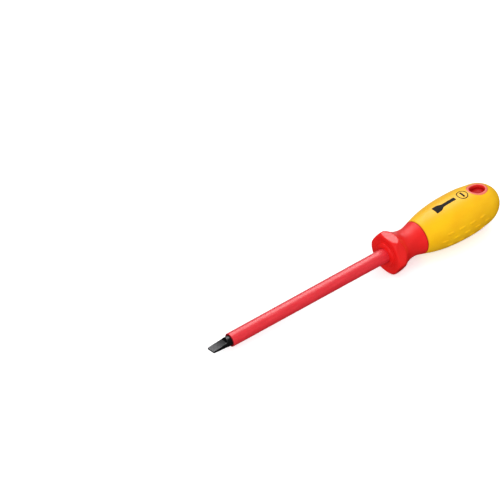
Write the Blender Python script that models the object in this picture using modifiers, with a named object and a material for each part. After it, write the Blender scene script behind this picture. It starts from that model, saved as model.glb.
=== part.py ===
"""Insulated slotted screwdriver, 6.5 x 150 mm.

Frame: origin at the centre of the blade's end face, +X along the tool from the
tip to the butt, +Z up towards the side that carries the pad print, metres.

Pieces, as the tool is made:
  blade              steel shank, slotted tip ground on it, anchor wings pressed at the rear
  blade_insulation   hard plastic tube over the shank, up to the last 15.5 mm of the tip
  handle_core        hard plastic moulded on the blade: hexagonal collar, neck, the core
                     under the grip and the walls of the hanging hole
  grip               soft plastic moulded over the core, with finger ribs on its two sides
"""

import math

import bmesh
import bpy
from mathutils import Matrix

MM = 0.001
GAP = 0.3 * MM  # kept between pieces that touch

# Blade
BLADE_R = 3.5 * MM
BLADE_LENGTH = 216.0 * MM
TIP_WIDTH = 6.5 * MM
TIP_SIDE_LENGTH = 8.0 * MM  # over which the sides open from the tip's width to the round shank
TIP_TURN = -10.0  # degrees about the axis from the collar's flats to the blade's flats
TIP_THICKNESS = 1.2 * MM
TIP_TAPER_LENGTH = 11.2 * MM
TIP_TAPER_REAR = 3.5 * MM  # thickness at the rear end of the ground faces
TIP_RUNOUT = 1.6 * MM  # length over which the ground faces rise to the round shank
WING_X = (196.0 * MM, 206.0 * MM)
WING_SPAN = 11.6 * MM
WING_THICKNESS = 2.4 * MM

# Insulation of the blade
SLEEVE_START = 15.5 * MM
SLEEVE_END = 164.0 * MM
SLEEVE_R = 4.75 * MM  # at its front end
SLEEVE_REAR_R = 5.0 * MM  # the moulding's draft opens it towards the handle
SLEEVE_ROOT_R = 5.2 * MM  # widened where it enters the collar
SLEEVE_ROOT_LENGTH = 9.0 * MM
SLEEVE_BORE_R = BLADE_R + 0.15 * MM

# Handle, measured from the collar's front face
BLADE_OUT = 150.0 * MM  # tip to the collar's front face, the tool's nominal blade length
HANDLE_LENGTH = 102.0 * MM
COLLAR_RIM_R = 13.2 * MM
COLLAR_MAX_R = 15.9 * MM  # across the rounded corners
COLLAR_FLAT = 14.1 * MM  # from the axis to a flat
BOSS_R = 8.4 * MM  # raised ring round the shaft on the collar's front face
BOSS_HEIGHT = 0.9 * MM
SEAM = 28.8 * MM  # where the grip begins
GRIP_WALL = 3.5 * MM
CORE_END = 97.5 * MM
DOME_START = 84.0 * MM

# radius of the handle's outside at stations behind the collar's front face
STATIONS_MM = (
    (3.6, 15.9),
    (6.6, 14.9),
    (9.7, 12.8),
    (13.0, 11.4),
    (17.5, 10.45),
    (22.0, 10.45),
    (26.5, 11.55),
    (31.0, 12.85),
    (36.0, 14.2),
    (43.0, 15.55),
    (52.0, 16.6),
    (63.0, 17.05),
    (74.0, 16.8),
    (84.0, 15.5),
)

# Hanging hole, an oval through the handle from top to bottom
HOLE_X = 83.6 * MM
HOLE_A = 6.6 * MM
HOLE_B = 4.6 * MM
HOLE_WALL = 1.8 * MM

# Finger ribs on the grip's two sides: three staggered rows of short raised ribs
RIB_LENGTH = 6.2 * MM
RIB_WIDTH = 2.2 * MM
RIB_HEIGHT = 0.55 * MM
RIB_PITCH = 9.6 * MM
RIB_ROWS = ((74.0, 46.5, 4), (92.0, 41.7, 5), (110.0, 46.5, 4))  # angle, first, count

SIDES = 48
ROUND = 32

for old in list(bpy.data.objects):
    bpy.data.objects.remove(old, do_unlink=True)
for old in list(bpy.data.collections):
    bpy.data.collections.remove(old)

parts = bpy.data.collections.new("insulated_screwdriver")
cutters = bpy.data.collections.new("cutters")
bpy.context.scene.collection.children.link(parts)
bpy.context.scene.collection.children.link(cutters)
cutters.hide_render = True

axis = bpy.data.objects.new("tool_axis", None)
axis.empty_display_type = "SINGLE_ARROW"
axis.rotation_euler = (0.0, math.pi / 2, 0.0)  # its local +Z is the tool's +X
parts.objects.link(axis)


def material(name, colour, roughness, metallic=0.0):
    made = bpy.data.materials.new(name)
    made.use_nodes = True
    shader = made.node_tree.nodes["Principled BSDF"]
    shader.inputs["Base Color"].default_value = (*colour, 1.0)
    shader.inputs["Roughness"].default_value = roughness
    shader.inputs["Metallic"].default_value = metallic
    made.diffuse_color = (*colour, 1.0)
    return made


def add(name, mesh, coat=None, helper=False, on_axis=True):
    obj = bpy.data.objects.new(name, mesh)
    (cutters if helper else parts).objects.link(obj)
    if on_axis:
        obj.parent = axis
    if coat:
        mesh.materials.append(coat)
    if helper:
        obj.hide_render = True
        obj.display_type = "WIRE"
    return obj


def turned(name, profile, sides, coat=None, helper=False):
    """A solid turned about the tool's axis from (station, radius) points, butt end first."""
    mesh = bpy.data.meshes.new(name)
    points = [(radius, 0.0, station) for station, radius in profile]
    mesh.from_pydata(points, [(i, i + 1) for i in range(len(points) - 1)], [])
    obj = add(name, mesh, coat, helper)
    screw = obj.modifiers.new("turn", "SCREW")
    screw.axis = "Z"
    screw.steps = screw.render_steps = sides
    screw.use_merge_vertices = True
    screw.merge_threshold = 0.00001
    screw.use_smooth_shade = True
    return obj


def turned_about_axis(obj, degrees):
    obj.rotation_euler = (math.radians(degrees), 0.0, 0.0)
    return obj


def boolean(obj, other, operation):
    step = obj.modifiers.new(operation.lower() + "_" + other.name, "BOOLEAN")
    step.operation = operation
    step.object = other
    step.solver = "EXACT"
    return step


def drum(name, radius, start, end, sides=ROUND, helper=True):
    """A cylinder on the tool's axis between two stations."""
    made = bmesh.new()
    bmesh.ops.create_cone(
        made,
        cap_ends=True,
        segments=sides,
        radius1=radius,
        radius2=radius,
        depth=end - start,
        matrix=Matrix.Translation((0.0, 0.0, (start + end) / 2)),
    )
    mesh = bpy.data.meshes.new(name)
    made.to_mesh(mesh)
    made.free()
    return add(name, mesh, helper=helper)


def oval(name, half_x, half_y, half_height, centre):
    """An upright elliptic cylinder through the handle."""
    made = bmesh.new()
    bmesh.ops.create_cone(
        made,
        cap_ends=True,
        segments=ROUND,
        radius1=1.0,
        radius2=1.0,
        depth=2 * half_height,
    )
    bmesh.ops.scale(made, vec=(half_x, half_y, 1.0), verts=made.verts)
    mesh = bpy.data.meshes.new(name)
    made.to_mesh(mesh)
    made.free()
    obj = add(name, mesh, helper=True, on_axis=False)
    obj.location = (centre, 0.0, 0.0)
    return obj


def block(name, low, high):
    made = bmesh.new()
    bmesh.ops.create_cube(made, size=1.0)
    size = [b - a for a, b in zip(low, high)]
    middle = [(a + b) / 2 for a, b in zip(low, high)]
    bmesh.ops.scale(made, vec=size, verts=made.verts)
    bmesh.ops.translate(made, vec=middle, verts=made.verts)
    mesh = bpy.data.meshes.new(name)
    made.to_mesh(mesh)
    made.free()
    return add(name, mesh, helper=True, on_axis=False)


def handle_radius(station):
    """Outside radius of the handle behind its widest collar line, a smooth curve through the stations."""
    xs = [x * MM for x, _ in STATIONS_MM]
    rs = [r * MM for _, r in STATIONS_MM]
    if station <= xs[0]:
        return rs[0]
    if station >= DOME_START:
        # the butt: the curve's last slope carried on and closed by a rounded dome
        t = min(1.0, (station - DOME_START) / (HANDLE_LENGTH - DOME_START))
        slope = 0.6 * (rs[-1] - rs[-2]) / (xs[-1] - xs[-2])
        body = rs[-1] + slope * (station - DOME_START)
        return body * math.sqrt(max(0.0, 1.0 - t**2.15))
    i = max(k for k in range(len(xs) - 1) if xs[k] <= station)
    slopes = []
    for k in (i, i + 1):
        a, b = max(0, k - 1), min(len(xs) - 1, k + 1)
        slopes.append((rs[b] - rs[a]) / (xs[b] - xs[a]))
    if i == 0:
        slopes[0] = 0.0
    width = xs[i + 1] - xs[i]
    t = (station - xs[i]) / width
    return (
        (2 * t**3 - 3 * t**2 + 1) * rs[i]
        + (t**3 - 2 * t**2 + t) * width * slopes[0]
        + (3 * t**2 - 2 * t**3) * rs[i + 1]
        + (t**3 - t**2) * width * slopes[1]
    )


def spread(start, end, count):
    return [start + (end - start) * i / count for i in range(count + 1)]


def dome_stations(start, end, count):
    """Stations that close up towards the end of a dome."""
    return [start + (end - start) * math.sin(math.pi / 2 * i / count) for i in range(count + 1)]


def at_handle(points):
    return [(BLADE_OUT + station, radius) for station, radius in points]


red = material("red_hard_plastic", (0.80, 0.02, 0.02), 0.38)
red_tube = material("red_insulation", (0.78, 0.03, 0.04), 0.42)
yellow = material("yellow_soft_plastic", (0.95, 0.52, 0.005), 0.55)
steel = material("blackened_steel", (0.05, 0.05, 0.052), 0.42, 1.0)

# ---- blade -----------------------------------------------------------------
blade = turned(
    "blade",
    [
        (BLADE_LENGTH, 0.0),
        (BLADE_LENGTH, BLADE_R - 0.6 * MM),
        (BLADE_LENGTH - 0.6 * MM, BLADE_R),
        (0.0, BLADE_R),
        (0.0, 0.0),
    ],
    ROUND,
    steel,
)
taper = (TIP_TAPER_REAR - TIP_THICKNESS) / 2 / TIP_TAPER_LENGTH
for side, sign in (("top", 1.0), ("bottom", -1.0)):
    made = bmesh.new()
    low, high = TIP_THICKNESS / 2, TIP_TAPER_REAR / 2
    outline = [(-2 * MM, low - 2 * MM * taper), (TIP_TAPER_LENGTH, high)]
    for i in range(1, 5):
        t = i / 4
        outline.append(
            (TIP_TAPER_LENGTH + TIP_RUNOUT * t, high + (BLADE_R + 0.2 * MM - high) * t**1.6)
        )
    outline += [(TIP_TAPER_LENGTH + TIP_RUNOUT, 6 * MM), (-2 * MM, 6 * MM)]
    verts = [made.verts.new((x, -5 * MM, sign * z)) for x, z in outline]
    face = made.faces.new(verts)
    pushed = bmesh.ops.extrude_face_region(made, geom=[face])
    bmesh.ops.translate(
        made,
        vec=(0.0, 10 * MM, 0.0),
        verts=[v for v in pushed["geom"] if isinstance(v, bmesh.types.BMVert)],
    )
    bmesh.ops.recalc_face_normals(made, faces=made.faces)
    mesh = bpy.data.meshes.new("tip_cut_" + side)
    made.to_mesh(mesh)
    made.free()
    cut = add("tip_cut_" + side, mesh, helper=True, on_axis=False)
    boolean(blade, turned_about_axis(cut, TIP_TURN), "DIFFERENCE")
for side, sign in (("left", 1.0), ("right", -1.0)):
    made = bmesh.new()
    opening = (BLADE_R - TIP_WIDTH / 2) / TIP_SIDE_LENGTH
    reach = TIP_SIDE_LENGTH + 1 * MM
    outline = [
        (-2 * MM, TIP_WIDTH / 2 - 2 * MM * opening),
        (reach, TIP_WIDTH / 2 + reach * opening),
        (reach, 6 * MM),
        (-2 * MM, 6 * MM),
    ]
    face = made.faces.new([made.verts.new((x, sign * y, -5 * MM)) for x, y in outline])
    pushed = bmesh.ops.extrude_face_region(made, geom=[face])
    bmesh.ops.translate(
        made,
        vec=(0.0, 0.0, 10 * MM),
        verts=[v for v in pushed["geom"] if isinstance(v, bmesh.types.BMVert)],
    )
    bmesh.ops.recalc_face_normals(made, faces=made.faces)
    mesh = bpy.data.meshes.new("side_cut_" + side)
    made.to_mesh(mesh)
    made.free()
    cut = add("side_cut_" + side, mesh, helper=True, on_axis=False)
    boolean(blade, turned_about_axis(cut, TIP_TURN), "DIFFERENCE")
wings = block(
    "wings",
    (WING_X[0], -WING_SPAN / 2, -WING_THICKNESS / 2),
    (WING_X[1], WING_SPAN / 2, WING_THICKNESS / 2),
)
boolean(blade, wings, "UNION")

# ---- insulation of the blade -------------------------------------------------
root = BLADE_OUT - SLEEVE_ROOT_LENGTH
outer = [(SLEEVE_END, SLEEVE_ROOT_R), (BLADE_OUT - 1.0 * MM, SLEEVE_ROOT_R)]
for x in spread(BLADE_OUT - 2.0 * MM, root, 4):
    t = (x - root) / (BLADE_OUT - 1.0 * MM - root)
    outer.append((x, SLEEVE_REAR_R + (SLEEVE_ROOT_R - SLEEVE_REAR_R) * (3 * t**2 - 2 * t**3)))
outer += [
    (SLEEVE_START + 0.5 * MM, SLEEVE_R),
    (SLEEVE_START, SLEEVE_R - 0.4 * MM),
]
sleeve_profile = outer + [(SLEEVE_START, SLEEVE_BORE_R), (SLEEVE_END, SLEEVE_BORE_R)]
sleeve = turned("blade_insulation", sleeve_profile + [sleeve_profile[0]], ROUND, red_tube)

# ---- handle core ---------------------------------------------------------------
core_outer = [(x, handle_radius(x) - GRIP_WALL) for x in spread(DOME_START, SEAM, 8)]
dome = [
    (
        DOME_START + (CORE_END - DOME_START) * math.sin(a),
        core_outer[0][1] * math.cos(a) ** 0.8,
    )
    for a in (math.pi / 2 * i / 4 for i in range(3, 0, -1))
]
collar_front = [
    (3.6 * MM * (1 - math.cos(a)), COLLAR_RIM_R + (COLLAR_MAX_R - COLLAR_RIM_R) * math.sin(a))
    for a in (math.pi / 2 * i / 4 for i in range(3, 0, -1))
]
skin = [(x, handle_radius(x)) for x in spread(SEAM, 3.6 * MM, 14)]
core_profile = (
    [(CORE_END, 0.0)]
    + dome
    + core_outer
    + [(SEAM, handle_radius(SEAM) - 0.35 * MM), (SEAM - 0.35 * MM, handle_radius(SEAM - 0.35 * MM))]
    + skin[1:]
    + collar_front
    + [
        (0.0, COLLAR_RIM_R),
        (-0.1 * MM, BOSS_R + 2.8 * MM),
        (0.3 * MM, BOSS_R + 0.6 * MM),
        (-BOSS_HEIGHT, BOSS_R - 0.4 * MM),
        (-BOSS_HEIGHT, 0.0),
    ]
)
core = turned("handle_core", at_handle(core_profile), SIDES, red)

hexagon = drum("collar_hexagon", COLLAR_FLAT / math.cos(math.pi / 6), BLADE_OUT - 5 * MM,
               BLADE_OUT + HANDLE_LENGTH + 5 * MM, sides=6)
boolean(core, hexagon, "INTERSECT")

# the hanging hole's wall, an oval boss cut flush with the grip's outside
envelope_profile = (
    [(HANDLE_LENGTH, 0.0)]
    + [(x, handle_radius(x)) for x in dome_stations(DOME_START, HANDLE_LENGTH, 10)[-2:0:-1]]
    + [(x, handle_radius(x)) for x in spread(DOME_START, 60 * MM, 8)]
    + [(60 * MM, 0.0)]
)
envelope = turned("handle_envelope", at_handle(envelope_profile), SIDES, helper=True)
boss = oval("hole_wall", HOLE_A + HOLE_WALL, HOLE_B + HOLE_WALL, 25 * MM, BLADE_OUT + HOLE_X)
boolean(boss, envelope, "INTERSECT")
boolean(core, boss, "UNION")
hole = oval("hanging_hole", HOLE_A, HOLE_B, 30 * MM, BLADE_OUT + HOLE_X)
boolean(core, hole, "DIFFERENCE")

sleeve_room = drum("sleeve_room", SLEEVE_ROOT_R + 0.2 * MM, BLADE_OUT - 10 * MM, SLEEVE_END + GAP)
boolean(core, sleeve_room, "DIFFERENCE")
blade_room = drum("blade_room", BLADE_R + 0.2 * MM, BLADE_OUT - 10 * MM, BLADE_LENGTH + GAP)
boolean(core, blade_room, "DIFFERENCE")
wing_room = block(
    "wing_room",
    (WING_X[0] - GAP, -WING_SPAN / 2 - GAP, -WING_THICKNESS / 2 - GAP),
    (WING_X[1] + GAP, WING_SPAN / 2 + GAP, WING_THICKNESS / 2 + GAP),
)
boolean(core, wing_room, "DIFFERENCE")

# ---- grip ------------------------------------------------------------------------
grip_front = SEAM + GAP
edge = 0.7 * MM
grip_outer = [(x, handle_radius(x)) for x in dome_stations(DOME_START, HANDLE_LENGTH, 9)[-2:0:-1]]
grip_outer += [(x, handle_radius(x)) for x in spread(DOME_START, grip_front + edge, 16)]
grip_outer += [
    (grip_front + 0.2 * MM, handle_radius(grip_front) - 0.08 * MM),
    (grip_front, handle_radius(grip_front) - 0.45 * MM),
]
inner = [(x, handle_radius(x) - GRIP_WALL + GAP) for x in spread(grip_front, DOME_START, 8)]
inner_dome = [
    (
        DOME_START + (CORE_END + GAP - DOME_START) * math.sin(a),
        inner[-1][1] * math.cos(a) ** 0.8,
    )
    for a in (math.pi / 2 * i / 4 for i in range(1, 4))
]
grip_profile = (
    [(HANDLE_LENGTH, 0.0)] + grip_outer + inner + inner_dome + [(CORE_END + GAP, 0.0)]
)
grip = turned("grip", at_handle(grip_profile), SIDES, yellow)

ribs = bmesh.new()
for angle, first, count in RIB_ROWS:
    for side in (1.0, -1.0):
        for k in range(count):
            station = first * MM + k * RIB_PITCH
            radius = handle_radius(station)
            slope = (handle_radius(station + MM) - handle_radius(station - MM)) / (2 * MM)
            place = (
                Matrix.Rotation(side * math.radians(angle), 4, "X")
                @ Matrix.Translation((BLADE_OUT + station, 0.0, radius))
                @ Matrix.Rotation(-math.atan(slope), 4, "Y")
                @ Matrix.Diagonal((RIB_LENGTH / 2, RIB_WIDTH / 2, RIB_HEIGHT, 1.0))
            )
            bmesh.ops.create_uvsphere(ribs, u_segments=10, v_segments=4, radius=1.0, matrix=place)
mesh = bpy.data.meshes.new("finger_ribs")
ribs.to_mesh(mesh)
ribs.free()
rib_set = add("finger_ribs", mesh, helper=True, on_axis=False)
boolean(grip, rib_set, "UNION")
grip_opening = oval(
    "grip_opening", HOLE_A + HOLE_WALL + GAP, HOLE_B + HOLE_WALL + GAP, 30 * MM, BLADE_OUT + HOLE_X
)
boolean(grip, grip_opening, "DIFFERENCE")
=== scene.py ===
"""Looks of the insulated slotted screwdriver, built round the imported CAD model.

Row frame: origin at the centre of the blade's end face, +X from the tip to the
butt, +Z up. The builders below work in millimetres and write metres.
"""

import math

import bpy
import numpy as np
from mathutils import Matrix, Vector


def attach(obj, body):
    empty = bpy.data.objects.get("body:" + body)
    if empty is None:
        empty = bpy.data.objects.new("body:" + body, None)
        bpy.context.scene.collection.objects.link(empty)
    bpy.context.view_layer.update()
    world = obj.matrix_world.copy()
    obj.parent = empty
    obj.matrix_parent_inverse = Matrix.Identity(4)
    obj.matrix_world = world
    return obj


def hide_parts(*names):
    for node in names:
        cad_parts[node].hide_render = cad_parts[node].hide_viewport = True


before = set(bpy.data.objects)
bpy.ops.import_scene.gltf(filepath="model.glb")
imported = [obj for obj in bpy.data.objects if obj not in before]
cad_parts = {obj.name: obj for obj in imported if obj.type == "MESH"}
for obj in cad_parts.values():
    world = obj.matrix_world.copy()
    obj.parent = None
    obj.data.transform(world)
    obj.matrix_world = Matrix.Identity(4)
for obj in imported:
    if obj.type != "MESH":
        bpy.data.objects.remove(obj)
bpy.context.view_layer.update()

MM = 0.001

# sizes shared with the CAD model, in millimetres
BLADE_R = 3.5
BLADE_LENGTH = 216.0
TIP_WIDTH = 6.5
TIP_SIDE_LENGTH = 8.0
TIP_TURN = -10.0
TIP_THICKNESS = 1.2
TIP_TAPER_LENGTH = 11.2
TIP_TAPER_REAR = 3.5
TIP_RUNOUT = 1.6
WING_X = (196.0, 206.0)
WING_SPAN = 11.6
WING_THICKNESS = 2.4
SLEEVE_START = 15.5
SLEEVE_END = 164.0
SLEEVE_R = 4.75
SLEEVE_REAR_R = 5.0
SLEEVE_ROOT_R = 5.2
SLEEVE_ROOT_LENGTH = 9.0
BLADE_OUT = 150.0
HANDLE_LENGTH = 102.0
COLLAR_RIM_R = 13.2
COLLAR_MAX_R = 15.9
COLLAR_FLAT = 14.1
BOSS_R = 8.4
BOSS_HEIGHT = 0.9
SEAM = 28.8
GRIP_WALL = 3.5
CORE_END = 97.5
DOME_START = 84.0
STATIONS = (
    (3.6, 15.9),
    (6.6, 14.9),
    (9.7, 12.8),
    (13.0, 11.4),
    (17.5, 10.45),
    (22.0, 10.45),
    (26.5, 11.55),
    (31.0, 12.85),
    (36.0, 14.2),
    (43.0, 15.55),
    (52.0, 16.6),
    (63.0, 17.05),
    (74.0, 16.8),
    (84.0, 15.5),
)
HOLE_X = 83.6
HOLE_A = 6.6
HOLE_B = 4.6
HOLE_WALL = 1.8
RIB_LENGTH = 6.2
RIB_WIDTH = 2.2
RIB_HEIGHT = 0.55
RIB_PITCH = 9.6
RIB_ROWS = ((74.0, 46.5, 4), (92.0, 41.7, 5), (110.0, 46.5, 4))


# ---------------------------------------------------------------- the outline


def hermite_radius(station):
    """Outside radius of the handle behind its widest collar line, as in the CAD model."""
    xs = [x for x, _ in STATIONS]
    rs = [r for _, r in STATIONS]
    if station <= xs[0]:
        return rs[0]
    if station >= DOME_START:
        t = min(1.0, (station - DOME_START) / (HANDLE_LENGTH - DOME_START))
        slope = 0.6 * (rs[-1] - rs[-2]) / (xs[-1] - xs[-2])
        return (rs[-1] + slope * (station - DOME_START)) * math.sqrt(max(0.0, 1.0 - t**2.15))
    i = max(k for k in range(len(xs) - 1) if xs[k] <= station)
    slopes = []
    for k in (i, i + 1):
        a, b = max(0, k - 1), min(len(xs) - 1, k + 1)
        slopes.append((rs[b] - rs[a]) / (xs[b] - xs[a]))
    if i == 0:
        slopes[0] = 0.0
    width = xs[i + 1] - xs[i]
    t = (station - xs[i]) / width
    return (
        (2 * t**3 - 3 * t**2 + 1) * rs[i]
        + (t**3 - 2 * t**2 + t) * width * slopes[0]
        + (3 * t**2 - 2 * t**3) * rs[i + 1]
        + (t**3 - t**2) * width * slopes[1]
    )


def resample(points, step):
    """The polyline with its points evenly spaced."""
    points = np.asarray(points, float)
    along = np.r_[0.0, np.cumsum(np.hypot(*np.diff(points, axis=0).T))]
    count = max(2, int(round(along[-1] / step)) + 1)
    at = np.linspace(0.0, along[-1], count)
    return np.c_[np.interp(at, along, points[:, 0]), np.interp(at, along, points[:, 1])]


def smoothed(points, sigma, step):
    """The evenly spaced polyline smoothed along its length, its two ends held by point reflection."""
    reach = int(4 * sigma / step)
    head = 2 * points[0] - points[reach:0:-1]
    tail = 2 * points[-1] - points[-2 : -reach - 2 : -1]
    full = np.vstack([head, points, tail])
    at = np.arange(-reach, reach + 1) * step
    kernel = np.exp(-0.5 * (at / sigma) ** 2)
    kernel /= kernel.sum()
    return np.c_[
        np.convolve(full[:, 0], kernel, "valid"), np.convolve(full[:, 1], kernel, "valid")
    ]


def make_outline():
    """The handle's outer line from the collar's front rim to the butt, its joins smoothed away."""
    step = 0.05
    quarter = np.linspace(0.0, math.pi / 2, 60)
    rim = np.c_[
        3.6 * (1 - np.cos(quarter)),
        COLLAR_RIM_R + (COLLAR_MAX_R - COLLAR_RIM_R) * np.sin(quarter),
    ]
    body_x = np.linspace(3.6, DOME_START, 1600)
    dome_x = DOME_START + (HANDLE_LENGTH - DOME_START) * np.sin(np.linspace(0, math.pi / 2, 400))
    xs = np.r_[body_x, dome_x[1:]]
    body = np.c_[xs, [hermite_radius(x) for x in xs]]
    half = resample(np.vstack([rim[:-1], body]), step)
    butt = half[:-1][::-1] * np.array([1.0, -1.0])  # carried on past the axis
    whole = np.vstack([half, butt])
    fine = smoothed(whole, 0.25, step)[: len(half)]
    broad = smoothed(whole, 1.3, step)[: len(half)]
    mix = np.clip((half[:, 0] - 3.0) / 6.0, 0, 1)[:, None]
    mix = mix * mix * (3 - 2 * mix)
    line = fine * (1 - mix) + broad * mix
    line[-1, 1] = 0.0
    line[:, 0] = np.maximum.accumulate(line[:, 0])
    return line


OUTLINE = make_outline()


def radius_at(x):
    """Outside radius of the handle at x millimetres behind the collar's front face."""
    return np.interp(x, OUTLINE[:, 0], OUTLINE[:, 1])


def outline_between(start, end, step):
    """The outline's points from start to end, about step apart along the line."""
    part = OUTLINE[(OUTLINE[:, 0] > start + 1e-6) & (OUTLINE[:, 0] < end - 1e-6)]
    first = [start, radius_at(start)]
    last = [end, radius_at(end)]
    return resample(np.vstack([first, part, last]), step)


def smin(a, b, k):
    """The lesser of two values, rounded where they meet."""
    h = np.clip(0.5 + 0.5 * (b - a) / k, 0.0, 1.0)
    return b * (1 - h) + a * h - k * h * (1 - h)


def hexagon_radius(theta):
    """Distance from the axis to the collar's hexagon; theta is measured from +Z."""
    turn = math.pi / 3
    return COLLAR_FLAT / np.cos((theta + turn / 2) % turn - turn / 2)


# ---------------------------------------------------------------- mesh making


def link(obj):
    bpy.context.scene.collection.objects.link(obj)
    return obj


def mesh_from(name, verts_mm, faces, material=None, smooth=True):
    mesh = bpy.data.meshes.new(name)
    mesh.from_pydata(np.asarray(verts_mm, float) * MM, [], faces)
    mesh.validate()
    mesh.polygons.foreach_set("use_smooth", np.full(len(mesh.polygons), smooth))
    mesh.update()
    obj = link(bpy.data.objects.new(name, mesh))
    if material:
        mesh.materials.append(material)
    return obj


def ring_faces(rings, sides, closed_long=False):
    """Quads between rings of equal size, each ring closed on itself."""
    faces = []
    last = rings if closed_long else rings - 1
    for i in range(last):
        a, b = i * sides, ((i + 1) % rings) * sides
        for k in range(sides):
            n = (k + 1) % sides
            faces.append((a + k, a + n, b + n, b + k))
    return faces


def turned(name, line, sides, shape=None, poles=(False, False), loop=False, material=None):
    """A body turned about the tool's axis from an (x, radius) line in tool millimetres.

    shape(x, r, theta) may change the radius. A pole closes an end on the axis, and
    loop joins the line's end to its start. Theta is measured from +Z towards -Y.
    """
    line = np.asarray(line, float)
    theta = np.linspace(0, 2 * math.pi, sides, endpoint=False)
    x = np.repeat(line[:, 0][:, None], sides, 1)
    r = np.repeat(line[:, 1][:, None], sides, 1)
    t = np.repeat(theta[None, :], len(line), 0)
    if shape is not None:
        r = shape(x, r, t)
    verts = np.stack([x, -r * np.sin(t), r * np.cos(t)], -1).reshape(-1, 3)
    faces = ring_faces(len(line), sides, loop)
    verts = list(map(tuple, verts))
    if poles[0]:
        centre = len(verts)
        verts.append((line[0, 0], 0.0, 0.0))
        faces += [(centre, (k + 1) % sides, k) for k in range(sides)]
    if poles[1]:
        centre = len(verts)
        base = (len(line) - 1) * sides
        verts.append((line[-1, 0], 0.0, 0.0))
        faces += [(centre, base + k, base + (k + 1) % sides) for k in range(sides)]
    return mesh_from(name, verts, faces, material)


def outward(obj):
    """Turns the faces out if the body came out inside out."""
    mesh = obj.data
    mesh.calc_loop_triangles()
    co = np.empty(len(mesh.vertices) * 3)
    mesh.vertices.foreach_get("co", co)
    tri = np.empty(len(mesh.loop_triangles) * 3, np.int32)
    mesh.loop_triangles.foreach_get("vertices", tri)
    p = co.reshape(-1, 3)[tri.reshape(-1, 3)]
    if np.einsum("ij,ij->i", p[:, 0], np.cross(p[:, 1], p[:, 2])).sum() < 0:
        mesh.flip_normals()
    return obj


def boolean(obj, other, operation):
    step = obj.modifiers.new(operation, "BOOLEAN")
    step.operation = operation
    step.object = other
    step.solver = "EXACT"
    apply_modifiers(obj)
    bpy.data.objects.remove(other, do_unlink=True)
    return obj


def apply_modifiers(obj):
    bpy.context.view_layer.update()
    graph = bpy.context.evaluated_depsgraph_get()
    mesh = bpy.data.meshes.new_from_object(obj.evaluated_get(graph))
    old = obj.data
    obj.modifiers.clear()
    obj.data = mesh
    bpy.data.meshes.remove(old)


def sharpen(obj, degrees):
    obj.data.shade_smooth()
    obj.data.set_sharp_from_angle(angle=math.radians(degrees))


def block(name, low, high):
    x0, y0, z0 = low
    x1, y1, z1 = high
    verts = [(x, y, z) for x in (x0, x1) for y in (y0, y1) for z in (z0, z1)]
    faces = [(0, 1, 3, 2), (4, 6, 7, 5), (0, 4, 5, 1), (2, 3, 7, 6), (0, 2, 6, 4), (1, 5, 7, 3)]
    return outward(mesh_from(name, verts, faces, smooth=False))


def oval_column(name, half_x, half_y, half_z, centre, sides=128):
    a = np.linspace(0, 2 * math.pi, sides, endpoint=False)
    rings = [
        np.c_[centre + half_x * np.cos(a), half_y * np.sin(a), np.full(sides, z)]
        for z in (-half_z, half_z)
    ]
    faces = ring_faces(2, sides)
    faces += [tuple(range(sides - 1, -1, -1)), tuple(range(sides, 2 * sides))]
    return outward(mesh_from(name, np.vstack(rings), faces, smooth=False))


# ---------------------------------------------------------------- materials


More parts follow.
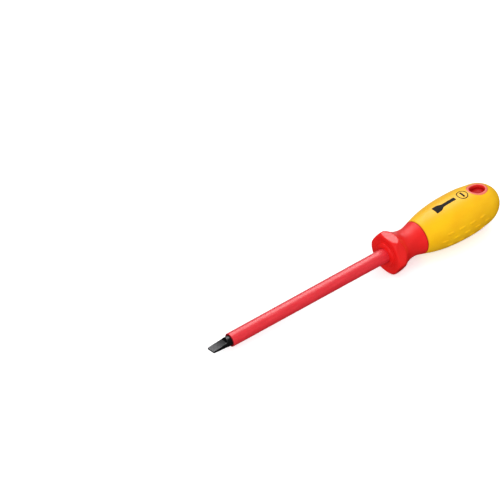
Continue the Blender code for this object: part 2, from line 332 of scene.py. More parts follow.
class Nodes:
    """A short way to write a node tree."""

    def __init__(self, name):
        self.material = bpy.data.materials.new(name)
        self.material.use_nodes = True
        self.tree = self.material.node_tree
        self.shader = self.tree.nodes["Principled BSDF"]
        coords = self.tree.nodes.new("ShaderNodeTexCoord")
        self.place = coords.outputs["Object"]

    def add(self, kind, **settings):
        made = self.tree.nodes.new(kind)
        for key, value in settings.items():
            setattr(made, key, value)
        return made

    def put(self, socket, value):
        if isinstance(value, bpy.types.NodeSocket):
            self.tree.links.new(value, socket)
        else:
            socket.default_value = value

    def scaled(self, sx, sy, sz):
        """Object coordinates in millimetres times a scale on each axis."""
        made = self.add("ShaderNodeMapping")
        made.inputs["Scale"].default_value = (sx / MM, sy / MM, sz / MM)
        self.tree.links.new(self.place, made.inputs["Vector"])
        return made.outputs["Vector"]

    def noise(self, vector, scale=1.0, detail=3.0, rough=0.55, distortion=0.0):
        made = self.add("ShaderNodeTexNoise")
        self.put(made.inputs["Vector"], vector)
        made.inputs["Scale"].default_value = scale
        made.inputs["Detail"].default_value = detail
        made.inputs["Roughness"].default_value = rough
        made.inputs["Distortion"].default_value = distortion
        return made.outputs["Fac"]

    def voronoi(self, vector, scale=1.0, feature="F1"):
        made = self.add("ShaderNodeTexVoronoi", feature=feature)
        self.put(made.inputs["Vector"], vector)
        made.inputs["Scale"].default_value = scale
        return made.outputs["Distance"]

    def ramp(self, value, low, high, out_low=0.0, out_high=1.0):
        made = self.add("ShaderNodeMapRange", interpolation_type="SMOOTHSTEP")
        self.put(made.inputs["Value"], value)
        made.inputs["From Min"].default_value = low
        made.inputs["From Max"].default_value = high
        made.inputs["To Min"].default_value = out_low
        made.inputs["To Max"].default_value = out_high
        return made.outputs["Result"]

    def math(self, operation, a, b=0.0):
        made = self.add("ShaderNodeMath", operation=operation)
        self.put(made.inputs[0], a)
        self.put(made.inputs[1], b)
        return made.outputs[0]

    def mix(self, factor, a, b, blend="MIX"):
        made = self.add("ShaderNodeMix", data_type="RGBA", blend_type=blend)
        self.put(made.inputs[0], factor)
        self.put(made.inputs[6], a if isinstance(a, bpy.types.NodeSocket) else (*a, 1.0))
        self.put(made.inputs[7], b if isinstance(b, bpy.types.NodeSocket) else (*b, 1.0))
        return made.outputs[2]

    def attribute(self, name):
        made = self.add("ShaderNodeAttribute", attribute_name=name)
        return made.outputs["Fac"]

    def bump(self, height, distance_mm, strength=1.0, over=None):
        made = self.add("ShaderNodeBump")
        made.inputs["Strength"].default_value = strength
        made.inputs["Distance"].default_value = distance_mm * MM
        self.put(made.inputs["Height"], height)
        if over is not None:
            self.put(made.inputs["Normal"], over)
        return made.outputs["Normal"]

    def set(self, **values):
        for key, value in values.items():
            self.put(self.shader.inputs[key.replace("_", " ")], value)


# noise that breaks up the painted highlight on the hanging hole's lips
def lip_highlight_noise(n):
    return n.noise(n.scaled(0.8, 0.8, 0.8), detail=4.0)


def handle_red():
    """Hard moulded plastic: satin, faint flow clouding, a fine spark-eroded texture, painted shade in the
    seam and deep in the hanging hole, a painted pale highlight on the hole's lips.
    """
    n = Nodes("red_hard_plastic")
    cloud = n.noise(n.scaled(0.06, 0.11, 0.11), detail=3.0)
    speck = n.noise(n.scaled(2.2, 2.2, 2.2), detail=2.0)
    base = n.mix(n.ramp(cloud, 0.3, 0.7), (0.82, 0.008, 0.007), (0.90, 0.013, 0.011))
    base = n.mix(n.ramp(speck, 0.35, 0.75, 0.0, 0.22), base, (0.68, 0.005, 0.007))
    # painted shade: dark red in the seam groove and deep inside the hanging hole (the edge attribute)
    base = n.mix(n.attribute("edge"), base, (0.12, 0.002, 0.002))
    # painted highlight: a pale pink ring on the hanging hole's lips, broken a little by noise
    painted_lip_highlight = n.math("MULTIPLY", n.attribute("lip"), n.ramp(lip_highlight_noise(n), 0.25, 0.6, 0.6, 1.0))
    base = n.mix(painted_lip_highlight, base, (0.93, 0.24, 0.17))
    scuff = n.noise(n.scaled(0.5, 4.0, 4.0), detail=4.0, distortion=0.6)
    rough = n.math(
        "ADD", n.ramp(speck, 0.3, 0.7, 0.27, 0.34), n.ramp(scuff, 0.60, 0.74, 0.0, 0.12)
    )
    # the neck behind the collar is duller than the collar, and the hole's wall is dull too
    split = n.add("ShaderNodeSeparateXYZ")
    n.tree.links.new(n.place, split.inputs["Vector"])
    neck = n.ramp(split.outputs["X"], 161.0 * MM, 168.0 * MM)
    rough = n.math("ADD", rough, n.math("MULTIPLY", neck, 0.14))
    grain = n.bump(n.noise(n.scaled(5.5, 5.5, 5.5), detail=2.0), 0.022, 0.55)
    sink = n.bump(cloud, 0.35, 0.35, over=grain)
    n.set(
        Base_Color=base,
        Roughness=rough,
        Normal=sink,
        IOR=1.49,
        Specular_IOR_Level=n.math(
            "SUBTRACT",
            n.ramp(n.attribute("edge"), 0.0, 0.5, 0.42, 0.20),
            n.math("MULTIPLY", neck, 0.14),
        ),
    )
    return n.material


def insulation_red():
    """Moulded insulation: a slightly pinker red, drawn along the shaft, with a mottled satin skin."""
    n = Nodes("red_insulation")
    drawn = n.noise(n.scaled(0.07, 0.9, 0.9), detail=4.0)
    mottle = n.noise(n.scaled(0.55, 0.8, 0.8), detail=3.0)
    fine = n.noise(n.scaled(3.5, 3.5, 3.5), detail=2.0)
    base = n.mix(n.ramp(drawn, 0.3, 0.7), (0.74, 0.016, 0.028), (0.83, 0.028, 0.042))
    base = n.mix(n.ramp(mottle, 0.45, 0.75, 0.0, 0.45), base, (0.60, 0.008, 0.016))
    speck = n.noise(n.scaled(1.3, 1.5, 1.5), detail=2.0)
    base = n.mix(n.ramp(speck, 0.56, 0.72, 0.0, 0.30), base, (0.92, 0.10, 0.12))
    # painted shade: the tube's front end face is painted dark red
    base = n.mix(n.attribute("edge"), base, (0.14, 0.003, 0.006))
    rough = n.math(
        "ADD", n.ramp(mottle, 0.3, 0.7, 0.30, 0.48), n.ramp(fine, 0.3, 0.7, -0.02, 0.03)
    )
    skin = n.bump(mottle, 0.16, 0.55)
    skin = n.bump(n.noise(n.scaled(5.0, 5.0, 5.0), detail=2.0), 0.02, 0.5, over=skin)
    n.set(
        Base_Color=base,
        Roughness=rough,
        Normal=skin,
        IOR=1.49,
        Specular_IOR_Level=0.55,
    )
    return n.material


def grip_yellow():
    """Soft thermoplastic rubber: fine grain, a dry sheen, and painted shade that darkens it round the
    hanging hole and along the seam.
    """
    n = Nodes("yellow_soft_plastic")
    cloud = n.noise(n.scaled(0.05, 0.08, 0.08), detail=3.0)
    grain = n.noise(n.scaled(4.2, 4.2, 4.2), detail=3.0, rough=0.6)
    pores = n.voronoi(n.scaled(2.6, 2.6, 2.6))
    base = n.mix(n.ramp(cloud, 0.3, 0.7), (0.96, 0.50, 0.0004), (1.0, 0.565, 0.0006))
    base = n.mix(n.ramp(grain, 0.35, 0.75, 0.0, 0.25), base, (0.84, 0.40, 0.0005))
    # painted shade: a darker orange round the hanging hole and along the seam
    edge = n.attribute("edge")
    base = n.mix(edge, base, (0.95, 0.40, 0.02))
    rough = n.math(
        "ADD", n.ramp(grain, 0.3, 0.7, 0.36, 0.46), n.ramp(cloud, 0.3, 0.7, -0.03, 0.03)
    )
    skin = n.bump(pores, 0.020, 0.35)
    skin = n.bump(grain, 0.030, 0.50, over=skin)
    n.set(
        Base_Color=base,
        Roughness=rough,
        Normal=skin,
        IOR=1.46,
        Specular_IOR_Level=0.27,
    )
    return n.material


def steel():
    """Blackened shank with bare-ground faces: striations along the blade, brighter worn edges."""
    n = Nodes("blackened_steel")
    ground = n.attribute("ground")
    wear = n.attribute("wear")
    lines = n.noise(n.scaled(0.12, 9.0, 9.0), detail=3.0, rough=0.7)
    cross = n.noise(n.scaled(3.0, 0.35, 0.35), detail=3.0)
    oxide = n.noise(n.scaled(0.9, 1.2, 1.2), detail=5.0, rough=0.65)
    black = n.mix(n.ramp(oxide, 0.3, 0.75), (0.030, 0.030, 0.032), (0.060, 0.059, 0.060))
    bare = n.mix(n.ramp(lines, 0.32, 0.68), (0.030, 0.030, 0.032), (0.150, 0.150, 0.154))
    # the ground faces are painted darker from the very tip towards the rear
    split = n.add("ShaderNodeSeparateXYZ")
    n.tree.links.new(n.place, split.inputs["Vector"])
    rear = n.ramp(split.outputs["X"], 1.5 * MM, 11.0 * MM)
    bare = n.mix(rear, bare, (0.018, 0.018, 0.019))
    base = n.mix(ground, black, bare)
    ragged = n.math("MULTIPLY", wear, n.ramp(n.noise(n.scaled(1.6, 1.6, 1.6), detail=4.0), 0.3, 0.62))
    base = n.mix(ragged, base, (0.42, 0.42, 0.43))
    rough = n.math(
        "ADD",
        n.ramp(oxide, 0.3, 0.7, 0.28, 0.40),
        n.math("MULTIPLY", ground, n.ramp(lines, 0.3, 0.7, 0.02, 0.16)),
    )
    skin = n.bump(oxide, 0.015, 0.35)
    height = n.math("MULTIPLY", ground, n.math("ADD", lines, n.math("MULTIPLY", cross, 0.15)))
    skin = n.bump(height, 0.020, 0.55, over=skin)
    n.set(Base_Color=base, Metallic=0.85, Roughness=rough, Normal=skin)
    return n.material


def mark_ink():
    """Pad-printing ink: near black, slightly broken, a little glossier than the grip."""
    n = Nodes("black_print_ink")
    thin = n.noise(n.scaled(1.8, 1.8, 1.8), detail=4.0)
    base = n.mix(n.ramp(thin, 0.55, 0.8, 0.0, 0.35), (0.012, 0.011, 0.010), (0.10, 0.065, 0.012))
    n.set(
        Base_Color=base,
        Roughness=n.ramp(thin, 0.3, 0.7, 0.38, 0.50),
        Normal=n.bump(n.noise(n.scaled(4.2, 4.2, 4.2), detail=3.0), 0.02, 0.4),
        IOR=1.5,
        Specular_IOR_Level=0.04,
    )
    return n.material


def floor_white():
    """White acrylic of a light table, lit faintly from below so that shadows stay pale."""
    n = Nodes("studio_floor")
    faint = n.noise(n.scaled(0.004, 0.004, 0.004), detail=2.0)
    n.set(
        Base_Color=n.mix(faint, (0.840, 0.840, 0.840), (0.860, 0.860, 0.860)),
        Roughness=0.9,
        Specular_IOR_Level=0.1,
        Emission_Color=(1.0, 1.0, 1.0, 1.0),
        Emission_Strength=0.46,
    )
    return n.material


RED = handle_red()
TUBE = insulation_red()
YELLOW = grip_yellow()
STEEL = steel()
INK = mark_ink()

# ---------------------------------------------------------------- handle core


def handle_core():
    """Collar, neck and the core under the grip, with the walls of the hanging hole."""
    boss_edge = 0.35
    room = SLEEVE_ROOT_R + 0.12
    bore = BLADE_R + 0.2
    face = [(-BOSS_HEIGHT + 0.25, room), (-BOSS_HEIGHT + 0.07, room + 0.07)]
    face += [(-BOSS_HEIGHT, room + 0.22)]
    face += [(-BOSS_HEIGHT, r) for r in np.linspace(room + 0.5, BOSS_R - boss_edge, 6)]
    for a in np.linspace(0, math.pi / 2, 6)[1:]:
        face.append(
            (
                -BOSS_HEIGHT + boss_edge * (1 - math.cos(a)),
                BOSS_R - boss_edge + boss_edge * math.sin(a),
            )
        )
    face += [(-0.20, BOSS_R + 0.05), (0.10, BOSS_R + 0.12), (0.30, BOSS_R + 0.35)]
    face += [(0.40, BOSS_R + 0.75), (0.36, BOSS_R + 1.2), (0.20, BOSS_R + 1.7)]
    face += [(0.05, BOSS_R + 2.1), (-0.02, BOSS_R + 2.5)]
    face += [(-0.04, r) for r in (11.4, 12.0, 12.45)]
    front = outline_between(0.03, 9.0, 0.16)
    neck = np.vstack(
        [outline_between(9.0, SEAM - 1.2, 0.45)[1:], outline_between(SEAM - 1.2, SEAM - 0.3, 0.15)[1:]]
    )
    seam_r = float(radius_at(SEAM))
    edge = [(SEAM - 0.12, seam_r - 0.06), (SEAM - 0.02, seam_r - 0.20), (SEAM, seam_r - 0.45)]
    under_r = float(radius_at(SEAM)) - GRIP_WALL
    wall = [(SEAM, r) for r in np.linspace(seam_r - 1.2, under_r, 4)]
    under = [(x, float(radius_at(x)) - GRIP_WALL) for x in np.linspace(SEAM, DOME_START, 28)[1:]]
    end_r = under[-1][1]
    dome = [
        (DOME_START + (CORE_END - DOME_START) * math.sin(a), end_r * math.cos(a) ** 0.8)
        for a in np.linspace(0, math.pi / 2, 12)[1:-1]
    ]
    line = (
        [(66.3, 1.5), (66.3, 3.0), (66.3, bore)]
        + [(x, bore) for x in np.linspace(60, 18, 8)]
        + [(14.3, bore), (14.3, room)]
        + [(x, room) for x in (10.0, 5.0, 1.0)]
        + face
        + [tuple(p) for p in front]
        + [tuple(p) for p in neck]
        + edge
        + wall
        + under
        + dome
    )
    line = np.array(line)

    def shape(x, r, t):
        # the hexagon cuts the collar only; its edges are rounded as moulded
        hexed = smin(r, hexagon_radius(t), 1.0)
        fade = np.clip((10.5 - (x - BLADE_OUT)) / 1.5, 0, 1) * (r > 9.5)
        return r * (1 - fade) + hexed * fade

    line[:, 0] += BLADE_OUT
    core = turned("handle_red_core", line, 288, shape, (True, True), material=RED)
    outward(core)
    boolean(core, hole_wall(), "UNION")
    boolean(core, oval_column("hole_through", HOLE_A, HOLE_B, 9.0, BLADE_OUT + HOLE_X), "DIFFERENCE")
    boolean(
        core,
        block(
            "wing_room",
            (WING_X[0] - 0.3, -WING_SPAN / 2 - 0.3, -WING_THICKNESS / 2 - 0.3),
            (WING_X[1] + 0.3, WING_SPAN / 2 + 0.3, WING_THICKNESS / 2 + 0.3),
        ),
        "DIFFERENCE",
    )
    sharpen(core, 38)
    co = points_of(core)
    x = co[:, 0] - BLADE_OUT
    # painted shade along the seam groove
    seam_shade = np.clip(1 - np.abs(x - SEAM + 0.1) / 0.8, 0, 1)
    # how far a point lies outside the hole's wall, and how deep under the handle's surface
    oval = np.hypot((x - HOLE_X) / HOLE_A, co[:, 1] / HOLE_B)
    surface = np.sqrt(np.maximum(radius_at(x) ** 2 - co[:, 1] ** 2, 1.0))
    deep = surface - np.abs(co[:, 2])
    # painted shade deep inside the hanging hole
    hole_shade = (oval < 1.03) * np.clip((deep - 0.8) / 4.0, 0, 1)
    # where the painted pale highlight goes: the hole's lips, near the surface
    lip = (oval < 1.6) * (x > HOLE_X - 12) * np.clip(1 - (deep - 0.15) / 0.7, 0, 1)
    write_attribute(core, "edge", np.maximum(0.75 * seam_shade, 0.62 * hole_shade))
    write_attribute(core, "lip", 0.85 * lip)
    return core


def hole_wall():
    """The oval lining of the hanging hole: rounded lips at both ends, flush with the grip."""
    sides = 128
    a = np.linspace(0, 2 * math.pi, sides, endpoint=False)
    lip = 0.75
    rows = []

    def ring(d, drop, sign):
        x = HOLE_X + (HOLE_A + d) * np.cos(a)
        y = (HOLE_B + d) * np.sin(a)
        top = np.sqrt(np.maximum(radius_at(x) ** 2 - y**2, 1.0))
        return np.c_[BLADE_OUT + x, y, sign * (top - drop)]

    def lip_rings(sign):
        made = [ring(HOLE_WALL, 1.2, sign), ring(HOLE_WALL, 0.35, sign)]
        for f in np.linspace(0, math.pi / 2, 5)[1:]:
            made.append(
                ring(HOLE_WALL - 0.25 * (1 - math.cos(f)), 0.30 - 0.28 * math.sin(f), sign)
            )
        for f in np.linspace(0, math.pi / 2, 13)[1:]:
            made.append(ring(lip * (1 - math.sin(f)), lip * (1 - math.cos(f)), sign))
        return made

    top = lip_rings(1.0)
    bottom = lip_rings(-1.0)
    inside = []
    for z in np.linspace(0.82, -0.82, 14):
        inside.append(
            np.c_[
                BLADE_OUT + HOLE_X + HOLE_A * np.cos(a),
                HOLE_B * np.sin(a),
                np.full(sides, z * 11.0),
            ]
        )
    outside = []
    for z in np.linspace(-0.8, 0.8, 6):
        outside.append(
            np.c_[
                BLADE_OUT + HOLE_X + (HOLE_A + HOLE_WALL) * np.cos(a),
                (HOLE_B + HOLE_WALL) * np.sin(a),
                np.full(sides, z * 11.0),
            ]
        )
    rows = top + inside + bottom[::-1] + outside
    return outward(mesh_from("hole_wall", np.vstack(rows), ring_faces(len(rows), sides, True)))


# ---------------------------------------------------------------- grip


def rib_height(x, t):
    """Height of the finger ribs over the grip at x behind the collar and angle t from +Z."""
    high = np.zeros_like(x)
    for angle, first, count in RIB_ROWS:
        for side in (1.0, -1.0):
            for k in range(count):
                at = first + k * RIB_PITCH
                radius = float(radius_at(at))
                slope = float(radius_at(at + 0.5) - radius_at(at - 0.5))
                u = (x - at) * math.hypot(1.0, slope) / (RIB_LENGTH / 2)
                turn = (t - side * math.radians(angle) + math.pi) % (2 * math.pi) - math.pi
                v = turn * radius / (RIB_WIDTH / 2)
                f = np.clip((1.0 - np.abs(u) ** 2.6 - v**2) / 0.75, 0.0, 1.0)
                high = np.maximum(high, 0.85 * RIB_HEIGHT * f * f * (3 - 2 * f))
    return high


def grip():
    front = SEAM + 0.22
    edge_r = float(radius_at(front))
    inner_r = float(radius_at(front)) - GRIP_WALL + 0.25
    edge = [
        (front + 0.55 * (1 - math.sin(a)), edge_r - 0.55 * (1 - math.cos(a)))
        for a in np.linspace(math.pi / 2, 0, 9)[:-1]
    ]
    outer = outline_between(front + 0.55, 101.4, 0.36)
    cap = OUTLINE[(OUTLINE[:, 0] > 101.4)]
    cap = resample(np.vstack([outer[-1], cap]), 0.55)[1:-1]
    inside = [
        (x, float(radius_at(x)) - GRIP_WALL + 0.25) for x in np.linspace(DOME_START, front, 26)
    ]
    end_r = inside[0][1]
    pole = [
        (DOME_START + (CORE_END + 0.25 - DOME_START) * math.sin(a), end_r * math.cos(a) ** 0.8)
        for a in np.linspace(math.pi / 2, 0, 12)[1:-1]
    ]
    wall = [(front, r) for r in np.linspace(inner_r + 0.7, edge_r - 1.0, 3)]
    line = np.array(
        pole + inside + wall + edge + [tuple(p) for p in outer] + [tuple(p) for p in cap]
    )
    first_outer = len(pole) + len(inside) + len(wall) + len(edge)
    is_outer = np.zeros(len(line), bool)
    is_outer[first_outer:] = True

    def shape(x, r, t):
        ribs = rib_height(x - BLADE_OUT, t)
        return r + ribs * is_outer[:, None]

    line[:, 0] += BLADE_OUT
    made = outward(turned("soft_grip", line, 400, shape, (True, True), material=YELLOW))
    boolean(
        made,
        oval_column(
            "grip_opening",
            HOLE_A + HOLE_WALL + 0.10,
            HOLE_B + HOLE_WALL + 0.10,
            25.0,
            BLADE_OUT + HOLE_X,
            160,
        ),
        "DIFFERENCE",
    )
    sharpen(made, 38)
    co = points_of(made)
    x = co[:, 0] - BLADE_OUT
    oval = np.hypot(
        (x - HOLE_X) / (HOLE_A + HOLE_WALL + 0.1), co[:, 1] / (HOLE_B + HOLE_WALL + 0.1)
    )
    # painted shade on the grip: darker round the hanging hole and along the seam
    grip_hole_shade = np.clip(1 - (oval - 1) * 6.5 / 0.5, 0, 1)
    grip_seam_shade = np.clip(1 - (x - front) / 0.7, 0, 1)
    write_attribute(made, "edge", 0.5 * np.maximum(grip_hole_shade, grip_seam_shade))
    return made


def points_of(obj):
    """The mesh's points in millimetres."""
    co = np.empty(len(obj.data.vertices) * 3)
    obj.data.vertices.foreach_get("co", co)
    return co.reshape(-1, 3) / MM


def write_attribute(obj, name, values):
    made = obj.data.attributes.new(name, "FLOAT", "POINT")
    made.data.foreach_set("value", np.asarray(values, np.float32))


# ---------------------------------------------------------------- shaft


def insulation():
    """The tube over the shank: rounded front end, a soft root at the collar, a faintly uneven skin."""
    e = 0.5
    front = [
        (SLEEVE_START + e * (1 - math.sin(a)), SLEEVE_R - e * (1 - math.cos(a)))
        for a in np.linspace(math.pi / 2, 0, 7)
    ]
    bore = BLADE_R + 0.17
    start = [(SLEEVE_START + 0.35, bore), (SLEEVE_START + 0.05, bore + 0.06), (SLEEVE_START, bore + 0.22)]
    body = [
        (x, SLEEVE_R + (SLEEVE_REAR_R - SLEEVE_R) * (x - SLEEVE_START) / (141.0 - SLEEVE_START))
        for x in np.linspace(SLEEVE_START + e, 141.0, 230)[1:]
    ]
    root = []
    for x in np.linspace(141.0, 148.0, 16)[1:]:
        f = (x - 141.0) / 7.0
        root.append((x, SLEEVE_REAR_R + (SLEEVE_ROOT_R - SLEEVE_REAR_R) * (3 * f**2 - 2 * f**3)))
    tail = [(x, SLEEVE_ROOT_R) for x in (148.6, 149.2, 150.0, 153.0, 158.0, SLEEVE_END)]
    inner = [(x, bore) for x in np.linspace(SLEEVE_END, SLEEVE_START + 4, 12)]
    line = np.array(start + front + body + root + tail + inner)
    outer = np.zeros(len(line), bool)
    outer[len(start) + len(front) : len(start) + len(front) + len(body) + len(root)] = True

    def shape(x, r, t):
        wave = 0.020 * np.sin(x * 0.31 + 1.3) * np.sin(2 * t + 0.4 + x * 0.02)
        wave += 0.014 * np.sin(x * 0.83 + 0.6) * np.cos(3 * t + x * 0.05)
        wave += 0.008 * np.sin(x * 2.1 + 2.0 * np.sin(t * 2 + 0.7))
        return r + wave * outer[:, None]

    made = outward(turned("insulation_tube", line, 96, shape, loop=True, material=TUBE))
    sharpen(made, 40)
    # painted shade on the tube's front end face
    write_attribute(made, "edge", 0.8 * (points_of(made)[:, 0] < SLEEVE_START + 0.15))
    return made


def blade():
    """Round shank with two ground faces, its edges broken, and the anchor wings at the rear."""
    xs = list(np.linspace(0.0, 0.3, 4)) + list(np.linspace(0.6, TIP_TAPER_LENGTH - 0.4, 44))
    xs += list(np.linspace(TIP_TAPER_LENGTH - 0.3, TIP_TAPER_LENGTH + TIP_RUNOUT + 0.4, 40))
    xs += list(np.linspace(13.6, 17.5, 14)) + list(np.linspace(20, 215.0, 40))
    xs += [215.4, 215.6, 215.8, 215.95, 216.0]
    xs = np.array(xs)
    sides = 288
    theta = np.linspace(0, 2 * math.pi, sides, endpoint=False)
    half_thin = TIP_THICKNESS / 2
    half_thick = TIP_TAPER_REAR / 2
    # the faces leave the tip almost parallel and then open out, as a grinding wheel cuts them
    f = np.clip(xs / TIP_TAPER_LENGTH, 0, 1)
    h = half_thin + (half_thick - half_thin) * (0.80 * f + 0.20 * f * f)
    g = np.clip((xs - TIP_TAPER_LENGTH) / TIP_RUNOUT, 0, 1)
    h = np.where(xs > TIP_TAPER_LENGTH, half_thick + (BLADE_R + 0.25 - half_thick) * g**1.6, h)
    broken = np.interp(xs, [0.0, 0.08, 0.16, 0.3], [0.16, 0.07, 0.02, 0.0])
    rear = np.interp(xs, [215.4, 216.0], [0.0, 0.6])
    R = BLADE_R - broken - rear
    x = np.repeat(xs[:, None], sides, 1)
    y = -R[:, None] * np.sin(theta)
    z = R[:, None] * np.cos(theta)
    limit = (h - broken)[:, None]
    zz = np.sign(z) * smin(np.abs(z), np.repeat(limit, sides, 1), 0.10)
    zz = np.where((xs < TIP_TAPER_LENGTH + TIP_RUNOUT)[:, None], zz, z)
    # the two sides are ground from the shank down to the tip's width
    side = TIP_WIDTH / 2 + (BLADE_R - TIP_WIDTH / 2) * xs / TIP_SIDE_LENGTH - broken
    side = np.repeat(side[:, None], sides, 1)
    yy = np.sign(y) * smin(np.abs(y), side, 0.06)
    yy = np.where((xs < TIP_SIDE_LENGTH + 1.0)[:, None], yy, y)
    turn = math.radians(TIP_TURN)
    verts = np.stack(
        [x, yy * math.cos(turn) - zz * math.sin(turn), yy * math.sin(turn) + zz * math.cos(turn)],
        -1,
    ).reshape(-1, 3)
    ground = ((np.abs(z) > limit) & (xs < TIP_TAPER_LENGTH + TIP_RUNOUT)[:, None]).astype(float)
    corner = np.exp(-(((np.abs(z) - limit) / 0.16) ** 2)) * (xs < 12.6)[:, None]
    tip_line = np.exp(-(xs / 0.45))[:, None] * np.ones(sides)
    wear = np.clip(0.75 * corner + 0.55 * tip_line, 0, 1)
    faces = ring_faces(len(xs), sides)
    n0 = len(verts)
    # end faces: rings that shrink to the centre keep the flat ends evenly meshed
    rings, grounds, wears = [verts], [ground.reshape(-1)], [wear.reshape(-1)]
    first = verts[:sides]
    last = verts[-sides:]
    count = n0
    for ring, flip in ((first, True), (last, False)):
        previous = np.arange(sides) if flip else np.arange(n0 - sides, n0)
        for s in (0.75, 0.5, 0.25):
            shrunk = ring * np.array([1.0, s, s])
            here = np.arange(count, count + sides)
            for k in range(sides):
                m = (k + 1) % sides
                quad = (previous[k], previous[m], here[m], here[k])
                faces.append(quad[::-1] if flip else quad)
            rings.append(shrunk)
            grounds.append(np.full(sides, 0.6 if flip else 0.0))
            wears.append(np.full(sides, 0.1 if flip else 0.0))
            previous = here
            count += sides
        centre = count
        rings.append(np.array([[ring[0, 0], 0.0, 0.0]]))
        grounds.append(np.array([0.6 if flip else 0.0]))
        wears.append(np.array([0.0]))
        count += 1
        for k in range(sides):
            m = (k + 1) % sides
            tri = (previous[k], previous[m], centre)
            faces.append(tri[::-1] if flip else tri)
    faces = [tuple(int(i) for i in face) for face in faces]
    made = outward(mesh_from("steel_blade", np.vstack(rings), faces, STEEL))
    write_attribute(made, "ground", np.concatenate(grounds))
    write_attribute(made, "wear", np.concatenate(wears))
    wings = block(
        "wings",
        (WING_X[0], -WING_SPAN / 2, -WING_THICKNESS / 2),
        (WING_X[1], WING_SPAN / 2, WING_THICKNESS / 2),
    )
    boolean(made, wings, "UNION")
    sharpen(made, 35)
    return made


# ---------------------------------------------------------------- printed mark


def on_grip(u, v, height):
    """A point of the flat mark (u along the tool, v across it) laid on the top of the grip."""
    r = radius_at(u)
    t = v / r
    return np.stack([BLADE_OUT + u, -(r + height) * np.sin(t), (r + height) * np.cos(t)], -1)


def patch(u, v, closed=False):
    """A thin closed body over a grid of flat (u, v) points: vertices and faces."""
    n, m = u.shape
    top = on_grip(u, v, 0.035).reshape(-1, 3)
    low = on_grip(u, v, -0.12).reshape(-1, 3)
    size = n * m
    faces = []
    rows = n if closed else n - 1
    for i in range(rows):
        j = (i + 1) % n
        for k in range(m - 1):
            a, b, c, d = i * m + k, i * m + k + 1, j * m + k + 1, j * m + k
            faces.append((a, b, c, d))
            faces.append((size + d, size + c, size + b, size + a))
        for k in (0, m - 1):
            a, b = i * m + k, j * m + k
            side = (a, b, size + b, size + a)
            faces.append(side if k == 0 else side[::-1])
    if not closed:
        for i in (0, n - 1):
            for k in range(m - 1):
                a, b = i * m + k, i * m + k + 1
                side = (b, a, size + a, size + b)
                faces.append(side if i == 0 else side[::-1])
    return np.vstack([top, low]), faces


def mark():
    """A generic pictogram of the drive: a slotted screw head and a flat blade, no lettering."""
    verts, faces = [], []
    pieces = []
    turn = np.linspace(0, 2 * math.pi, 72, endpoint=False)
    ring = np.linspace(3.55, 4.25, 3)
    u = 69.6 + np.cos(turn)[:, None] * ring
    v = np.sin(turn)[:, None] * ring
    pieces.append(patch(u, v, closed=True))
    s = np.linspace(-1, 1, 13)
    w = np.linspace(-0.75, 0.75, 5)
    pieces.append(patch(69.6 + np.repeat(w[:, None], 13, 1), np.repeat((s * 2.5)[None, :], 5, 0)))
    # blade seen from above: parallel shank, shoulders, flared flat end
    us = np.array([44.0, 44.3, 46.0, 48.2, 49.4, 50.4, 51.0, 53.0, 55.0, 57.0, 59.0, 61.0, 62.4, 62.8])
    half = np.array([3.0, 3.2, 3.2, 3.0, 2.5, 1.9, 1.55, 1.4, 1.4, 1.4, 1.4, 1.4, 1.4, 1.2])
    across = np.linspace(-1, 1, 9)
    pieces.append(patch(np.repeat(us[:, None], 9, 1), half[:, None] * across[None, :]))
    base = 0
    for p, f in pieces:
        verts.append(p)
        faces += [tuple(int(i) + base for i in face) for face in f]
        base += len(p)
    made = outward(mesh_from("drive_mark", np.vstack(verts), faces, INK))
    sharpen(made, 40)
    return made


# ---------------------------------------------------------------- assembly

core_piece = handle_core()
grip_piece = grip()
tube_piece = insulation()
blade_piece = blade()
mark_piece = mark()

for piece, node, slot in (
    (core_piece, "handle_core", "handle_red"),
    (grip_piece, "grip", "grip_yellow"),
    (tube_piece, "blade_insulation", "insulation_red"),
    (blade_piece, "blade", "blade_steel"),
):
    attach(piece, "root")
    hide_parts(node)
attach(mark_piece, "root")

# ---------------------------------------------------------------- floor, light, camera

# the tool lies on the bottom flat of its collar and on the belly of its grip
lowest = [(p[0], p[2]) for p in np.vstack([points_of(core_piece), points_of(grip_piece)])]
lowest = np.array(lowest)
collar = lowest[lowest[:, 0] < BLADE_OUT + 12]
belly = lowest[lowest[:, 0] > BLADE_OUT + 35]
slope = 0.0
for _ in range(20):
    a = collar[np.argmin(collar[:, 1] - slope * collar[:, 0])]
    b = belly[np.argmin(belly[:, 1] - slope * belly[:, 0])]
    slope = (b[1] - a[1]) / (b[0] - a[0])
angle = math.atan(-slope)
foot = a[1] - slope * a[0]


def floor():
    half = 2600.0
    centre = (120.0, 0.0)
    count = 24
    verts, faces = [], []
    for i in range(count + 1):
        for k in range(count + 1):
            x = centre[0] - half + 2 * half * i / count
            y = centre[1] - half + 2 * half * k / count
            verts.append((x, y, foot + slope * x - 0.02))
    for i in range(count):
        for k in range(count):
            a0 = i * (count + 1) + k
            faces.append((a0, a0 + count + 1, a0 + count + 2, a0 + 1))
    made = mesh_from("studio_floor", verts, faces, floor_white())
    # the tool keeps dark rims and a darker underside instead of taking the table's light
    made.visible_glossy = False
    made.visible_diffuse = False
    return made


floor()


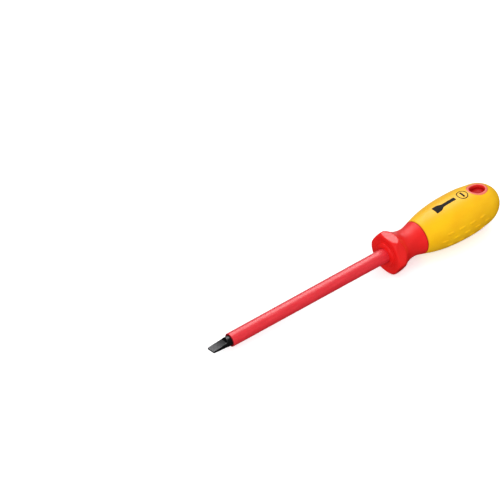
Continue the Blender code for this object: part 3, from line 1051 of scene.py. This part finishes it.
def softbox(name, place, aim, width, height, watts):
    data = bpy.data.lights.new(name, "AREA")
    data.shape = "RECTANGLE"
    data.size, data.size_y = width, height
    data.energy = watts
    obj = link(bpy.data.objects.new(name, data))
    obj.location = place
    obj.rotation_euler = (Vector(aim) - Vector(place)).to_track_quat("-Z", "Y").to_euler()
    return obj


middle = (0.15, 0.0, 0.0)
# The cards hang behind the tool, seen from the camera, and they alone are mirrored in the
# surfaces: the upper one on the tops, the low one on the far flanks. The soft key, the fill and
# the surroundings only light them.
card = softbox("gloss_card", (0.56, 0.49, 0.69), middle, 0.80, 0.70, 9.2)
low_card = softbox("rim_card", (0.70, 1.00, -0.30), middle, 1.4, 0.7, 1.6)
key = softbox("key_box", (0.35, 0.45, 1.15), middle, 1.5, 1.2, 3.2)
fill = softbox("front_fill", (-0.75, -0.60, 0.60), middle, 0.9, 0.7, 6.0)
card.visible_diffuse = False
low_card.visible_diffuse = False
key.visible_glossy = False
fill.visible_glossy = False

world = bpy.data.worlds.new("studio")
bpy.context.scene.world = world
world.use_nodes = True
sky = world.node_tree
direction = sky.nodes.new("ShaderNodeTexCoord")
split = sky.nodes.new("ShaderNodeSeparateXYZ")
level = sky.nodes.new("ShaderNodeMapRange")
level.interpolation_type = "SMOOTHSTEP"
level.inputs["From Min"].default_value = -0.25
level.inputs["From Max"].default_value = 0.25
level.inputs["To Min"].default_value = 0.42  # from below the tool
level.inputs["To Max"].default_value = 0.84
sky.links.new(direction.outputs["Generated"], split.inputs["Vector"])
sky.links.new(split.outputs["Z"], level.inputs["Value"])
sky.links.new(level.outputs["Result"], sky.nodes["Background"].inputs["Strength"])
sky.nodes["Background"].inputs["Color"].default_value = (1.0, 1.0, 1.0, 1.0)
world.cycles_visibility.glossy = False

camera_data = bpy.data.cameras.new("camera")
camera_data.sensor_width = 36.0
camera_data.lens = 159.507
camera_data.clip_start = 0.05
camera_data.clip_end = 20.0
camera = link(bpy.data.objects.new("camera", camera_data))
camera.location = (-0.629271, -0.823259, 0.986592)
camera.rotation_euler = (math.radians(49.0), 0.0, math.radians(-38.7984))
bpy.context.scene.camera = camera

bpy.context.scene.view_settings.view_transform = "Standard"
